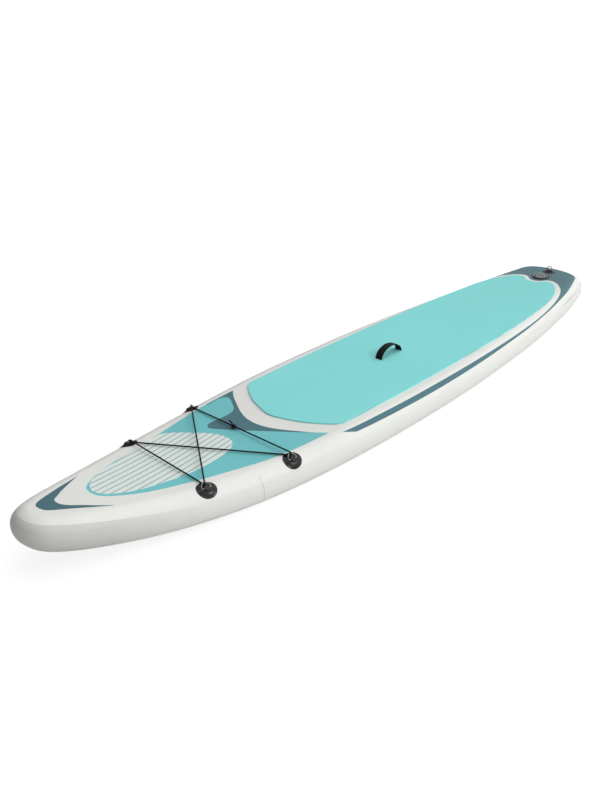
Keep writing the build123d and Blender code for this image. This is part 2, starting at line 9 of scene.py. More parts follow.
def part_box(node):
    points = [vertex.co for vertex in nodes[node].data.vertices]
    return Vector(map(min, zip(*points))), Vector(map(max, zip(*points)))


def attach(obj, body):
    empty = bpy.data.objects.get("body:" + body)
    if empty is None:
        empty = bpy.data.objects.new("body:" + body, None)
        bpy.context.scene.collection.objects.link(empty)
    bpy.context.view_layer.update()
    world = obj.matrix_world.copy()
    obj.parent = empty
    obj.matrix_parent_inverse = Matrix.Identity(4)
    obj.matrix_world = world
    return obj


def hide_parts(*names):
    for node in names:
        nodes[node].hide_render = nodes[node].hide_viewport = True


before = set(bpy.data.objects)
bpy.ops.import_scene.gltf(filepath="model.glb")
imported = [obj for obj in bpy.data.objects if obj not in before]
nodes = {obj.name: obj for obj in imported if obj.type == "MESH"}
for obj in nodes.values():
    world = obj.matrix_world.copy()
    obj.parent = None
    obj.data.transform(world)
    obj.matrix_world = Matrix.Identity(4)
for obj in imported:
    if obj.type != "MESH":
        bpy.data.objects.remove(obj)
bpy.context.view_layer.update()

# Hull, in metres. A station is the distance aft of the nose line; Y is the station less half the length.
LENGTH = 3.505
THICKNESS = 0.150
BULGE = 0.071
NOSE_THINNING, NOSE_THIN_LENGTH = 0.020, 0.500
NOSE_ROCKER, NOSE_ROCKER_LENGTH = 0.096, 1.000
TAIL_ROCKER, TAIL_ROCKER_LENGTH = 0.026, 0.943
SKIN = 0.0012
GIRTH = 0.0725
NOSE_START, NOSE_RADIUS, NOSE_SWEEP = 0.071, 0.060, 58
PLATE_END, TRANSOM_RADIUS, TRANSOM_SWEEP = 3.434, 0.300, 19.6
CORNER_RADIUS, CORNER_FLARE = 0.062, 14
SIDE = [
    (0.109, 0.238), (0.160, 0.406), (0.216, 0.640), (0.267, 0.941), (0.302, 1.343),
    (0.310, 1.744), (0.300, 2.146), (0.276, 2.481), (0.245, 2.782), (0.206, 3.050),
]

# Printed artwork on the deck: (distance from the centre line, station). The lists are smooth curves that
# meet at corners.
PANEL_SIDE = [
    (0.0, 0.286), (0.030, 0.292), (0.055, 0.311), (0.080, 0.345), (0.105, 0.389), (0.130, 0.447),
    (0.151, 0.515), (0.170, 0.583), (0.190, 0.655), (0.212, 0.740), (0.234, 0.822), (0.253, 0.900),
    (0.266, 0.970), (0.275, 1.045), (0.281, 1.120), (0.286, 1.195),
]
PANEL_REAR = [
    (0.286, 1.195), (0.245, 1.162), (0.190, 1.128), (0.140, 1.099), (0.080, 1.071), (0.040, 1.060),
    (0.0, 1.056),
]
CHEVRON_OUT = [
    (-0.133, 0.322), (-0.117, 0.278), (-0.100, 0.231), (-0.079, 0.181), (-0.056, 0.131),
    (-0.040, 0.108), (-0.024, 0.098), (-0.009, 0.098), (0.012, 0.104), (0.028, 0.120), (0.043, 0.148),
    (0.073, 0.203), (0.106, 0.259), (0.134, 0.307),
]
CHEVRON_IN = [
    (0.134, 0.307), (0.118, 0.288), (0.099, 0.264), (0.078, 0.240), (0.056, 0.214), (0.040, 0.193),
    (0.026, 0.178), (0.010, 0.168), (-0.010, 0.164), (-0.028, 0.168), (-0.041, 0.182), (-0.062, 0.209),
    (-0.088, 0.247), (-0.133, 0.322),
]
OVAL = [
    (-0.033, 0.308), (0.002, 0.299), (0.028, 0.309), (0.050, 0.330), (0.070, 0.363), (0.085, 0.396),
    (0.095, 0.430), (0.103, 0.470), (0.110, 0.525), (0.117, 0.590), (0.119, 0.655), (0.113, 0.733),
    (0.103, 0.798), (0.088, 0.847), (0.062, 0.886), (0.032, 0.903), (-0.016, 0.902), (-0.066, 0.881),
    (-0.130, 0.830), (-0.188, 0.773), (-0.205, 0.738), (-0.205, 0.705), (-0.194, 0.668),
    (-0.179, 0.620), (-0.163, 0.562), (-0.146, 0.508), (-0.129, 0.453), (-0.109, 0.398),
    (-0.086, 0.360), (-0.062, 0.328),
]
SWOOSH_LOW = [(0.276, 1.185), (0.165, 1.099), (0.068, 1.026), (-0.023, 0.958), (-0.084, 0.915)]
SWOOSH_TIP = [(-0.084, 0.915), (-0.103, 0.906), (-0.123, 0.913), (-0.134, 0.931), (-0.136, 0.953)]
SWOOSH_LOBE = [
    (-0.136, 0.953), (-0.134, 0.990), (-0.134, 1.030), (-0.141, 1.064), (-0.160, 1.088), (-0.200, 1.114),
    (-0.238, 1.133), (-0.258, 1.133), (-0.271, 1.112), (-0.272, 1.078), (-0.266, 1.036),
]
SWOOSH_REST = [
    (-0.266, 1.036), (-0.290, 1.020), (-0.330, 1.240), (0.0, 1.240), (0.290, 1.240), (0.276, 1.185),
]
TAIL_EDGE = [
    (0.192, 3.176), (0.176, 3.203), (0.165, 3.218), (0.145, 3.240), (0.122, 3.258), (0.100, 3.269),
    (0.083, 3.272), (0.067, 3.268), (0.052, 3.257), (0.036, 3.240), (0.018, 3.229), (0.0, 3.225),
]
# Slate stripe on each rail: (station, degrees round the rail from the deck)
STRIPE_UP = [
    (1.240, 18.0), (1.290, 20.0), (1.400, 21.5), (1.650, 24.0), (1.940, 26.0), (2.270, 30.0),
    (2.450, 32.5), (2.640, 34.5), (2.800, 35.0), (2.935, 33.0), (3.033, 29.0), (3.100, 23.0),
    (3.155, 14.0), (3.190, 5.0), (3.215, -4.0),
]
# Edge of the second layer, which the rail sheet shows wider over the nose, where its white is painted darker as
# painted shade: (station, degrees)
NOSE_BAND = [
    (0.071, 36.0), (0.150, 41.5), (0.237, 47.0), (0.320, 51.0), (0.400, 54.5), (0.500, 60.0),
    (0.600, 66.0),
]
STRIPE_LOW = [
    (3.600, 26.0), (3.440, 25.0), (3.387, 25.5), (3.326, 29.0), (3.256, 33.5), (3.080, 38.0), (2.928, 40.0),
    (2.797, 41.0), (2.650, 42.5), (2.454, 43.0), (2.252, 44.0), (2.074, 44.5), (1.760, 45.0), (1.495, 42.5),
    (1.346, 40.0), (1.298, 38.5),
]
HAIRLINE_WAY = (0.984, 0.178, 0)
HAIRLINE_PITCH = 0.0267
GROOVE_PITCH = 0.008
VALVE_STATION, VALVE_HOLE = 3.300, 0.023
TAIL_RING_STATION = 3.396
# The rail cloth's lapped joint, and where it climbs onto the second layer, in degrees round the rail
RAIL_JOINT_STATION, RAIL_JOINT_FROM, RAIL_JOINT_TO = 0.818, 38, 112
BAND_EDGE, BAND_THICKNESS = 63.5, 0.0014


def rocker(s):
    nose = np.clip(1 - s / NOSE_ROCKER_LENGTH, 0, None)
    tail = np.clip(1 - (LENGTH - s) / TAIL_ROCKER_LENGTH, 0, None)
    return NOSE_ROCKER * nose**2 + TAIL_ROCKER * tail**2


def slope(s):
    nose = np.clip(1 - s / NOSE_ROCKER_LENGTH, 0, None)
    tail = np.clip(1 - (LENGTH - s) / TAIL_ROCKER_LENGTH, 0, None)
    return 2 * TAIL_ROCKER * tail / TAIL_ROCKER_LENGTH - 2 * NOSE_ROCKER * nose / NOSE_ROCKER_LENGTH


def spline(points, way_in, way_out, per_span=60):
    """A smooth curve through points that starts and ends along the given directions."""
    p = np.array(points, float)
    h = np.linalg.norm(np.diff(p, axis=0), axis=1)
    n = len(p)
    a = np.eye(n)
    b = np.zeros((n, 2))
    b[0], b[-1] = way_in, way_out
    for i in range(1, n - 1):
        a[i, i - 1], a[i, i], a[i, i + 1] = h[i], 2 * (h[i] + h[i - 1]), h[i - 1]
        b[i] = 3 * (h[i] * (p[i] - p[i - 1]) / h[i - 1] + h[i - 1] * (p[i + 1] - p[i]) / h[i])
    m = np.linalg.solve(a, b)
    out = []
    for i in range(n - 1):
        u = np.linspace(0, 1, per_span, endpoint=False)[:, None]
        out.append(
            (2 * u**3 - 3 * u**2 + 1) * p[i] + (u**3 - 2 * u**2 + u) * h[i] * m[i]
            + (3 * u**2 - 2 * u**3) * p[i + 1] + (u**3 - u**2) * h[i] * m[i + 1]
        )
    return np.vstack(out + [p[-1:]])


def arc(x, s, radius, start, end, steps=24):
    """Points on a circle; degrees are counted from straight aft towards port."""
    a = np.radians(np.linspace(start, end, steps + 1))
    return np.stack([x + radius * np.sin(a), s + radius * np.cos(a)], 1)


def plate_outline():
    nose = arc(0, NOSE_START + NOSE_RADIUS, NOSE_RADIUS, 180, 180 - NOSE_SWEEP)
    middle = PLATE_END - TRANSOM_RADIUS
    reach, turn = TRANSOM_RADIUS - CORNER_RADIUS, math.radians(TRANSOM_SWEEP)
    turn_x, turn_s = reach * math.sin(turn), middle + reach * math.cos(turn)
    corner = arc(turn_x, turn_s, CORNER_RADIUS, 90 - CORNER_FLARE, TRANSOM_SWEEP)
    transom = arc(0, middle, TRANSOM_RADIUS, TRANSOM_SWEEP, 0)
    a, b = math.radians(NOSE_SWEEP), math.radians(90 + CORNER_FLARE)
    side = spline([nose[-1]] + SIDE + [corner[0]], (math.cos(a), math.sin(a)), (math.cos(b), math.sin(b)))
    return np.vstack([nose, side[1:], corner[1:], transom[1:]])


EDGE = plate_outline()
EDGE_T = np.r_[0, np.cumsum(np.linalg.norm(np.diff(EDGE, axis=0), axis=1))]
EDGE_LENGTH = EDGE_T[-1]
way = np.gradient(EDGE, EDGE_T, axis=0)
way[0], way[-1] = (1, 0), (-1, 0)
way /= np.linalg.norm(way, axis=1)[:, None]
EDGE_OUT = np.stack([way[:, 1], -way[:, 0]], 1)


def t_of(station):
    return np.interp(station, EDGE[:, 1], EDGE_T)


def hull(t, w, lift=0.0):
    """Points and outward normals of the port half.

    t runs along the seam and w round the section from it, negative on the deck.
    """
    t, w = np.broadcast_arrays(np.asarray(t, float), np.asarray(w, float))
    x, s = np.interp(t, EDGE_T, EDGE[:, 0]), np.interp(t, EDGE_T, EDGE[:, 1])
    nx, ns = np.interp(t, EDGE_T, EDGE_OUT[:, 0]), np.interp(t, EDGE_T, EDGE_OUT[:, 1])
    size = np.hypot(nx, ns)
    nx, ns = nx / size, ns / size
    thin = np.clip(1 - s / NOSE_THIN_LENGTH, 0, None)
    tall = (THICKNESS - NOSE_THINNING * thin**2) / 2
    angle = np.maximum(w, 0) / GIRTH
    across = np.where(w < 0, w, BULGE * np.sin(angle))
    rise = slope(s)
    z = rocker(s) + THICKNESS - tall * (1 - np.cos(angle)) + rise * ns * across
    real_rise = rise - NOSE_THINNING * thin / NOSE_THIN_LENGTH * (1 - np.cos(angle))
    out, up = np.sin(angle) * tall, np.cos(angle) * BULGE
    normal = np.stack([out * nx, out * ns - up * real_rise, up], -1)
    normal /= np.linalg.norm(normal, axis=-1)[..., None]
    point = np.stack([x + nx * across, s + ns * across - LENGTH / 2, z], -1)
    return point + normal * np.asarray(lift)[..., None], normal


def deck(x, s):
    """Points and normals of the flat deck."""
    point = np.stack([x, s - LENGTH / 2, rocker(s) + THICKNESS], -1)
    normal = np.stack([np.zeros_like(s), -slope(s), np.ones_like(s)], -1)
    return point, normal / np.linalg.norm(normal, axis=-1)[..., None]


def smooth(points, step=0.004):
    """A smooth open curve through given points."""
    p = np.array(points, float)
    first, last = p[1] - p[0], p[-1] - p[-2]
    dense = spline(p, first / np.linalg.norm(first), last / np.linalg.norm(last), 16)
    length = np.r_[0, np.cumsum(np.linalg.norm(np.diff(dense, axis=0), axis=1))]
    count = max(2, int(length[-1] / step))
    at = np.linspace(0, length[-1], count + 1)
    return np.stack([np.interp(at, length, dense[:, k]) for k in (0, 1)], 1)


def smooth_loop(points, step=0.004):
    """A smooth closed curve: it runs on past its start, and the overlap is cut off."""
    ring = smooth(points[-3:] + points + points[:4], step / 4)
    away = np.linalg.norm(ring - np.array(points[0]), axis=1)
    half = len(ring) // 2
    return ring[np.argmin(away[:half]):half + np.argmin(away[half:]):4]


def joined(*curves):
    return np.vstack([c[:-1] for c in curves])


def both_sides(*curves):
    """Closed outline from the port curves, which run from the centre line back to it."""
    port = np.vstack([curves[0]] + [c[1:] for c in curves[1:]])
    return np.vstack([port, (port * [-1, 1])[::-1][1:-1]])


# ---------------------------------------------------------------- materials
def linear(r, g, b):
    """Linear colour from the usual 0 to 255 values."""
    shares = [v / 255 for v in (r, g, b)]
    return tuple(v / 12.92 if v <= 0.04045 else ((v + 0.055) / 1.055) ** 2.4 for v in shares) + (1,)


class Look:
    """A Principled material and short calls that add nodes to it."""

    def __init__(self, name, colour, rough, metal=0.0, spec=0.5):
        self.mat = bpy.data.materials.new(name)
        self.mat.use_nodes = True
        self.tree = self.mat.node_tree
        self.bsdf = self.tree.nodes["Principled BSDF"]
        self.bsdf.inputs["Base Color"].default_value = colour
        self.bsdf.inputs["Roughness"].default_value = rough
        self.bsdf.inputs["Metallic"].default_value = metal
        self.bsdf.inputs["Specular IOR Level"].default_value = spec
        self.mat.diffuse_color = colour
        self.place = self.add("ShaderNodeTexCoord").outputs["Object"]
        self.bump_from = None

    def add(self, kind, **values):
        node = self.tree.nodes.new(kind)
        for key, value in values.items():
            setattr(node, key, value)
        return node

    def put(self, socket, value):
        if isinstance(value, bpy.types.NodeSocket):
            self.tree.links.new(value, socket)
        else:
            socket.default_value = value

    def math(self, what, a, b=0.0, c=0.0):
        node = self.add("ShaderNodeMath", operation=what)
        for k, v in enumerate((a, b, c)):
            self.put(node.inputs[k], v)
        return node.outputs[0]

    def noise(self, scale, detail=2.0, where=None, rough=0.5):
        node = self.add("ShaderNodeTexNoise")
        self.put(node.inputs["Vector"], where or self.place)
        node.inputs["Scale"].default_value = scale
        node.inputs["Detail"].default_value = detail
        node.inputs["Roughness"].default_value = rough
        return node.outputs["Fac"]

    def dot(self, way, where=None):
        node = self.add("ShaderNodeVectorMath", operation="DOT_PRODUCT")
        self.put(node.inputs[0], where or self.place)
        node.inputs[1].default_value = way
        return node.outputs["Value"]

    def spread(self, value, low, high, out_low=0.0, out_high=1.0):
        node = self.add("ShaderNodeMapRange")
        self.put(node.inputs[0], value)
        for k, v in enumerate((low, high, out_low, out_high)):
            node.inputs[k + 1].default_value = v
        return node.outputs[0]

    def mix(self, share, a, b):
        node = self.add("ShaderNodeMix", data_type="RGBA")
        self.put(node.inputs[0], share)
        self.put(node.inputs[6], a)
        self.put(node.inputs[7], b)
        return node.outputs[2]

    def colour(self, value):
        self.put(self.bsdf.inputs["Base Color"], value)

    def roughness(self, value):
        self.put(self.bsdf.inputs["Roughness"], value)

    def bump(self, height, depth, strength=1.0):
        node = self.add("ShaderNodeBump")
        node.inputs["Strength"].default_value = strength
        node.inputs["Distance"].default_value = depth
        self.put(node.inputs["Height"], height)
        if self.bump_from:
            self.put(node.inputs["Normal"], self.bump_from)
        self.bump_from = node.outputs["Normal"]
        self.put(self.bsdf.inputs["Normal"], self.bump_from)


def tint(colour, share):
    return tuple(min(1.0, v * share) for v in colour[:3]) + (1,)


def pvc(name, colour, rough=0.42, grain=1.0, spread=0.035, spec=0.3):
    """Coated fabric: a faint cloudy tone, a fine grain and the shallow dimples of the drop stitches."""
    look = Look(name, colour, rough, spec=spec)
    cloud = look.spread(look.noise(2.6, 3), 0.3, 0.7)
    look.colour(look.mix(cloud, tint(colour, 1 - spread), tint(colour, 1 + spread * 0.6)))
    look.roughness(look.spread(look.noise(38, 4), 0.3, 0.7, rough - 0.05, rough + 0.07))
    look.bump(look.noise(900, 3), 0.00009 * grain)
    cell = look.add("ShaderNodeTexVoronoi")
    look.put(cell.inputs["Vector"], look.place)
    cell.inputs["Scale"].default_value = 150
    look.bump(look.spread(cell.outputs["Distance"], 0.0, 0.6), 0.00007 * grain)
    return look


WHITE = linear(219, 220, 216)
TURQUOISE = linear(106, 187, 192)
SLATE = linear(68, 109, 119)
PAD = linear(142, 230, 229)
SHINY_BLACK = linear(13, 13, 15)

looks = {}
looks["white"] = pvc("pvc_white", WHITE)
looks["turquoise"] = pvc("pvc_turquoise", TURQUOISE)
looks["slate"] = pvc("pvc_slate", SLATE, spec=0.25)
looks["chevron"] = pvc("pvc_chevron", linear(66, 104, 114), spec=0.25)
looks["bottom"] = pvc("pvc_bottom", linear(214, 216, 211), 0.45)
# The second layer's white is painted darker towards the nose: painted shade of the nose
band = looks["band"] = pvc("pvc_band", WHITE, 0.44, 1.1)
# Painted shade: the band fades from white to a darker white over the last 0.4 m before the nose
aft = band.spread(band.dot((0, 1, 0)), -1.55, -1.15)
band.colour(band.mix(aft, tint(WHITE, 0.80), WHITE))

hair = looks["hairlines"] = pvc("pvc_hairlines", WHITE)
pitches = hair.math("DIVIDE", hair.dot(HAIRLINE_WAY), HAIRLINE_PITCH)
within = hair.math("FRACT", hair.math("ADD", pitches, 100.0))
near = hair.math("ABSOLUTE", hair.math("SUBTRACT", within, 0.5))
line = hair.spread(near, 0.085, 0.075)
hair.colour(hair.mix(line, linear(214, 222, 218), linear(110, 150, 154)))

# EVA foam: lengthwise grooves painted darker as painted shade, and closed-cell grain
foam = looks["foam"] = Look("eva_foam", PAD, 0.8, spec=0.25)
across_pad = foam.math("ADD", foam.dot((1, 0, 0)), 10.0)
cut = foam.math("FRACT", foam.math("MULTIPLY", across_pad, 1 / GROOVE_PITCH))
groove_and_shade = foam.spread(foam.math("ABSOLUTE", foam.math("SUBTRACT", cut, 0.5)), 0.10, 0.24)
cell_tone = foam.spread(foam.noise(700, 3), 0.35, 0.65)
body = foam.mix(foam.spread(foam.noise(3.0, 3), 0.3, 0.7), tint(PAD, 0.97), tint(PAD, 1.02))
body = foam.mix(foam.math("MULTIPLY", cell_tone, 0.12), body, tint(PAD, 0.86))
# Painted shade: the grooves are coloured darker than the ridges between them
foam.colour(foam.mix(groove_and_shade, tint(PAD, 0.74), body))
foam.roughness(foam.spread(foam.noise(260, 2), 0.3, 0.7, 0.72, 0.9))
foam.bump(groove_and_shade, 0.0012)
foam.bump(foam.noise(1100, 2), 0.00015)


def moulded(name, colour, rough, grain=0.00006, scale=700, spec=0.5):
    """Moulded plastic or rubber: slightly uneven tone and gloss, and a fine grain."""
    look = Look(name, colour, rough, spec=spec)
    look.colour(look.mix(look.spread(look.noise(45, 3), 0.3, 0.7), tint(colour, 0.93), tint(colour, 1.08)))
    look.roughness(look.spread(look.noise(30, 3), 0.3, 0.7, max(0.02, rough - 0.03), rough + 0.04))
    look.bump(look.noise(scale, 3), grain)
    return look


looks["pad_black"] = moulded("moulded_pad_black", SHINY_BLACK, 0.13, spec=0.3)
looks["holder"] = moulded("holder_black", linear(15, 15, 17), 0.2, spec=0.3)
looks["rubber"] = moulded("seal_rubber", linear(38, 38, 39), 0.6, 0.0001, 500)
looks["valve_dark"] = moulded("valve_dark", linear(22, 23, 26), 0.35, spec=0.3)
looks["valve_grey"] = moulded("valve_grey", linear(150, 156, 158), 0.38)
looks["cap_grey"] = moulded("cap_grey", linear(128, 134, 136), 0.36)
# Light grey of the painted highlight ring on the valve's flange
looks["painted_highlight_grey"] = moulded("painted_highlight_grey", linear(205, 208, 207), 0.3)
looks["fin_black"] = moulded("fin_box_black", linear(40, 41, 44), 0.42, 0.00012, 420)
looks["anchor"] = moulded("anchor_grey", linear(70, 74, 78), 0.55)
looks["tape"] = moulded("tape_grey", linear(200, 202, 200), 0.5)
looks["thread"] = moulded("stitch_white", linear(225, 225, 220), 0.8, 0.0003, 300)
looks["joint"] = moulded("joint_shadow", linear(182, 184, 180), 0.5)

steel = looks["steel"] = Look("ring_steel", linear(132, 135, 137), 0.2, metal=1.0)
steel.roughness(steel.spread(steel.noise(240, 3), 0.3, 0.7, 0.1, 0.24))
steel.bump(steel.noise(900, 2), 0.00002)


def textile(name, colour, along, across, depth, rough=0.72):
    """Woven or braided black textile, on the piece's own UV in metres."""
    look = Look(name, colour, rough, spec=0.2)
    uv = look.add("ShaderNodeTexCoord").outputs["UV"]
    split = look.add("ShaderNodeSeparateXYZ")
    look.put(split.inputs[0], uv)
    u, v = split.outputs[0], split.outputs[1]
    a = look.math("SINE", look.math("MULTIPLY", look.math("ADD", u, v), 2 * math.pi / along))
    b = look.math("SINE", look.math("MULTIPLY", look.math("SUBTRACT", u, v), 2 * math.pi / across))
    weave_relief_and_shade = look.spread(look.math("MULTIPLY", a, b), -1.0, 1.0)
    # Painted highlight on the raised threads and painted shade in the hollows of the weave
    look.colour(look.mix(weave_relief_and_shade, tint(colour, 0.6), tint(colour, 1.7)))
    look.roughness(look.spread(weave_relief_and_shade, 0.0, 1.0, rough - 0.08, rough + 0.1))
    look.bump(weave_relief_and_shade, depth)
    return look


looks["webbing"] = textile("webbing_black", linear(16, 17, 18), 0.0024, 0.0024, 0.0003)
looks["braid"] = textile("bungee_braid", linear(14, 15, 16), 0.0034, 0.0034, 0.0002)


def dress(node, look):
    o = nodes[node]
    o.data.materials.clear()
    o.data.materials.append(looks[look].mat)


# ---------------------------------------------------------------- mesh helpers
def keep(o, body="hull", stands_for=()):
    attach(o, body)
    if stands_for:
        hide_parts(*stands_for)
    return o


def make(name, verts, faces, mats, face_mats=None, loop_normals=None, uvs=None):
    mesh = bpy.data.meshes.new(name)
    mesh.from_pydata([tuple(map(float, v)) for v in verts], [], [tuple(map(int, f)) for f in faces])
    for m in mats:
        mesh.materials.append(looks[m].mat)
    mesh.polygons.foreach_set("use_smooth", [True] * len(mesh.polygons))
    if face_mats is not None:
        mesh.polygons.foreach_set("material_index", [int(i) for i in face_mats])
    if uvs is not None:
        layer = mesh.uv_layers.new(name="UVMap")
        layer.data.foreach_set("uv", np.array(uvs, np.float32).ravel())
    mesh.update()
    if loop_normals is not None:
        mesh.normals_split_custom_set([tuple(map(float, n)) for n in loop_normals])
    o = bpy.data.objects.new(name, mesh)
    bpy.context.scene.collection.objects.link(o)
    return o


def sheet_mesh(name, points, normals, faces, face_mats, mats, thick):
    """A sheet with its own thickness under a printed face, and its edge closed."""
    n = len(points)
    points, normals = np.asarray(points), np.asarray(normals)
    verts = np.vstack([points, points - normals * thick])
    all_faces, all_mats, loops = [], [], []
    edges = {}
    for f, m in zip(faces, face_mats):
        all_faces.append(tuple(f))
        all_mats.append(m)
        loops += [normals[v] for v in f]
        for a, b in zip(f, f[1:] + f[:1]):
            edges[(a, b)] = m
    for f in faces:
        back = tuple(v + n for v in reversed(f))
        all_faces.append(back)
        all_mats.append(0)
        loops += [-normals[v - n] for v in back]
    for (a, b), m in edges.items():
        if (b, a) not in edges:
            all_faces.append((b, a, a + n, b + n))
            all_mats.append(m)
            side = Vector(points[b] - points[a]).cross(Vector(normals[a])).normalized()
            loops += [side] * 4
    return make(name, verts, all_faces, mats, all_mats, loops)


def divide(outline, regions, inside_points, choose):
    """Triangles of a flat outline cut along every region's edge, with the material that choose gives each."""
    verts, polys = [], []
    for ring in [outline] + regions:
        ring = np.asarray(ring)
        x, y = ring[:, 0], ring[:, 1]
        if np.sum(x * np.roll(y, -1) - y * np.roll(x, -1)) < 0:
            ring = ring[::-1]
        polys.append(list(range(len(verts), len(verts) + len(ring))))
        verts += [Vector((float(p[0]), float(p[1]))) for p in ring]
    verts += [Vector((float(p[0]), float(p[1]))) for p in inside_points]
    where, _, faces, _, _, from_polys = delaunay_2d_cdt(verts, [], polys, 1, 1e-6)
    kept, mats = [], []
    for f, ids in zip(faces, from_polys):
        if 0 in ids:
            kept.append(list(f))
            mats.append(choose(set(ids)))
    return np.array([(p.x, p.y) for p in where]), kept, mats


def compact(points, faces):
    used = sorted({v for f in faces for v in f})
    index = {v: k for k, v in enumerate(used)}
    return points[used], [[index[v] for v in f] for f in faces]


# ---------------------------------------------------------------- deck
# Rows stand closer together round the nose and the tail
NOSE_STRETCH, TAIL_STRETCH = 0.30, 0.36
T_ROWS = np.unique(np.r_[
    np.linspace(0, NOSE_STRETCH, 40),
    np.linspace(NOSE_STRETCH, EDGE_LENGTH - TAIL_STRETCH, 150),
    np.linspace(EDGE_LENGTH - TAIL_STRETCH, EDGE_LENGTH, 46),
].round(6))
edge_x, edge_s = np.interp(T_ROWS, EDGE_T, EDGE[:, 0]), np.interp(T_ROWS, EDGE_T, EDGE[:, 1])
port_edge = np.stack([edge_x, edge_s], 1)
port_edge[0, 0] = port_edge[-1, 0] = 0.0
plate = both_sides(port_edge)

panel = both_sides(smooth(PANEL_SIDE), smooth(PANEL_REAR))
chevron = joined(smooth(CHEVRON_OUT), smooth(CHEVRON_IN))
oval = smooth_loop(OVAL)
swoosh = joined(smooth(SWOOSH_LOW), smooth(SWOOSH_TIP), smooth(SWOOSH_LOBE), np.array(SWOOSH_REST))
tail_half = smooth(TAIL_EDGE)
tail_corners = [(-0.4, 3.17), (-0.4, 3.6), (0.4, 3.6), (0.4, 3.17)]
tail_slate = np.vstack([tail_half, (tail_half * [-1, 1])[::-1][1:], tail_corners])
valve_hole = arc(0, VALVE_STATION, VALVE_HOLE, 0, 360, 40)[:-1]

IN_PANEL, IN_CHEVRON, IN_OVAL, IN_SWOOSH, IN_TAIL, IN_HOLE = range(1, 7)
DECK_LOOKS = ["white", "turquoise", "slate", "hairlines", "chevron"]
CUT_AWAY = -1


def deck_look(ids):
    """Which look a triangle of the deck wears, from the regions that it lies in."""
    if IN_HOLE in ids:
        return CUT_AWAY
    if IN_PANEL in ids:
        look = "hairlines" if IN_OVAL in ids else "slate" if IN_SWOOSH in ids else "turquoise"
    else:
        look = "chevron" if IN_CHEVRON in ids else "slate" if IN_TAIL in ids else "white"
    return DECK_LOOKS.index(look)


grid = [(x, s) for s in np.arange(0.09, 3.42, 0.02) for x in np.arange(-0.30, 0.301, 0.04)
        if abs(x) < np.interp(s, EDGE[:, 1], EDGE[:, 0]) - 0.006]
where, faces, face_mats = divide(plate, [panel, chevron, oval, swoosh, tail_slate, valve_hole], grid, deck_look)
faces, face_mats = zip(*[(f, m) for f, m in zip(faces, face_mats) if m != CUT_AWAY])
where, faces = compact(where, list(faces))
points, normals = deck(where[:, 0], where[:, 1])
deck_print = sheet_mesh("deck_print", points, normals, faces, list(face_mats), DECK_LOOKS, SKIN)
keep(deck_print, "hull", ["deck_skin"])

# ---------------------------------------------------------------- rails
# The rail sheet runs half round, from the deck seam at w = 0 to the bottom seam at W_END
W_END = math.pi * GIRTH
RAIL_ROWS = 23
RAIL_LOOKS = ["white", "slate", "band"]
IN_STRIPE, IN_BAND = 1, 2


def on_rail(points):
    """(t, w) from (station, degrees round the rail); aft of the plate, t runs straight on."""
    t = [t_of(s) if s < PLATE_END else EDGE_LENGTH + (s - PLATE_END) for s, _ in points]
    return np.array([t, [math.radians(d) * GIRTH for _, d in points]]).T


def rail_look(ids):
    """Which look a triangle of the rail sheet wears, from the regions that it lies in."""
    look = "slate" if IN_STRIPE in ids else "band" if IN_BAND in ids else "white"
    return RAIL_LOOKS.index(look)


upper, lower = on_rail(STRIPE_UP), on_rail(STRIPE_LOW)
past_tail = (EDGE_LENGTH + 0.1, -0.004)
stripe = joined(smooth(upper), np.array([upper[-1], past_tail]), np.array([past_tail, lower[0]]),
                smooth(lower), np.array([lower[-1], upper[0]]))
rail_outline = np.vstack([
    np.stack([T_ROWS, np.zeros(len(T_ROWS))], 1),
    [(EDGE_LENGTH, w) for w in np.linspace(0, W_END, RAIL_ROWS)[1:-1]],
    np.stack([T_ROWS[::-1], np.full(len(T_ROWS), W_END)], 1),
    [(0, w) for w in np.linspace(W_END, 0, RAIL_ROWS)[1:-1]],
])
rail_grid = [(t, w) for t in T_ROWS[1:-1] for w in np.linspace(0, W_END, RAIL_ROWS)[1:-1]]
band_edge = smooth(on_rail(NOSE_BAND))
band_edge[0, 0] = -0.01
nose_band = np.vstack([band_edge, (band_edge * [1, -1] + [0, W_END])[::-1]])
where, faces, face_mats = divide(rail_outline, [stripe, nose_band], rail_grid, rail_look)
where, faces = compact(where, faces)
points, normals = hull(where[:, 0], where[:, 1])
for hand, sign in (("port", 1), ("starboard", -1)):
    flip = np.array([sign, 1, 1])
    ordered = [f[::-1] for f in faces] if sign > 0 else faces
    o = sheet_mesh("rail_print_" + hand, points * flip, normals * flip, ordered, face_mats, RAIL_LOOKS, SKIN)
    keep(o, "hull", ["rail_wall_" + hand])


def wrap(name, t, w, lift, mats, sign):
    """A surface laid on the hull from rows of (t, w, lift)."""
    rows, cols = t.shape
    p, _ = hull(t.ravel(), w.ravel(), lift.ravel())
    p = p * [sign, 1, 1]
    faces = []
    for i in range(rows - 1):
        for j in range(cols - 1):
            k = j + 1
            f = [i * cols + j, i * cols + k, (i + 1) * cols + k, (i + 1) * cols + j]
            faces.append(f if sign > 0 else f[::-1])
    return keep(make(name, p, faces, mats))


# The lapped joint is a low step of cloth whose edge shows as a fine line: (distance along the rail, height).
# rail_joint_port lies on the -X rail and rail_joint_starboard on the +X rail.
LAP = [
    (-0.0005, 0.0001), (-0.0004, 0.0004), (0.0, 0.0005), (0.0005, 0.0005), (0.0009, 0.0004),
    (0.0010, 0.0001),
]
for hand, sign in (("port", -1), ("starboard", 1)):
    w_row = np.radians(np.linspace(RAIL_JOINT_FROM, RAIL_JOINT_TO, 60)) * GIRTH
    t = np.array([[t_of(RAIL_JOINT_STATION) + a for a, _ in LAP]] * len(w_row)).T
    w = np.array([w_row] * len(LAP))
    over_band = np.where(w_row > math.radians(BAND_EDGE) * GIRTH, BAND_THICKNESS, 0.0)
    lift = np.array([h + over_band for _, h in LAP])
    wrap("rail_joint_" + hand, t, w, lift, ["joint"], sign)

# ---------------------------------------------------------------- moulded pads of the rings
SPOKES = 72
RING_PAD_RADIUS, RIM_TOP = 0.0385, 0.0017


